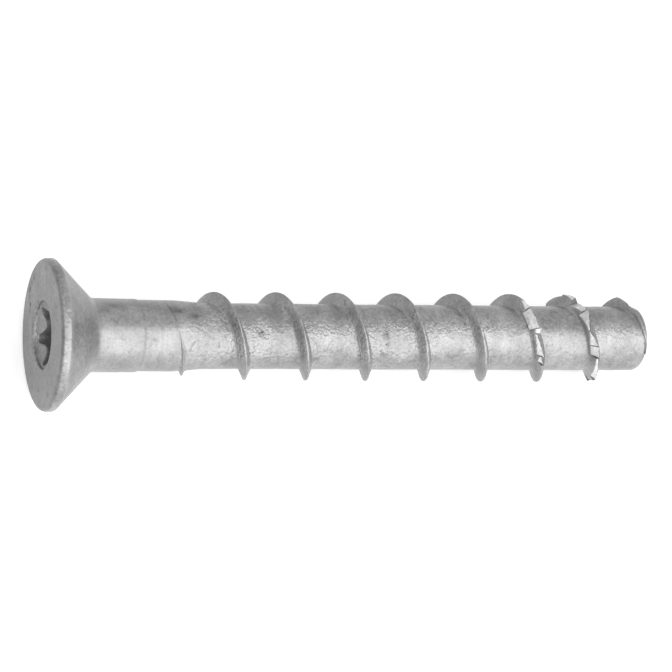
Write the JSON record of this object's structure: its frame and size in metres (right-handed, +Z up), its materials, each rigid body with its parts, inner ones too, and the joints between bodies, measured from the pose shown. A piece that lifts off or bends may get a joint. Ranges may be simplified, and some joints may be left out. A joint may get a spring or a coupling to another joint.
{
  "type": "concrete screw",
  "caption": "Countersunk-head screw for concrete: six-lobe drive, plain shank, coarse right-hand cutting thread with saw-toothed last turns and a blunt rounded tip.",
  "frame": {"origin": "middle of the bounding box in plan, on the floor that the screw lies on", "axes": "+X from the head to the tip (the screw's axis dips 2.9 degrees below +X), +Z up"},
  "size_m": [0.0906, 0.021, 0.021],
  "materials": {
    "zinc_coat": "matt grey zinc coating on steel, lightly mottled, bright where the saw teeth are cut"
  },
  "bodies": {
    "root": {"concrete_screw": "zinc_coat"}
  },
  "joints": []
}
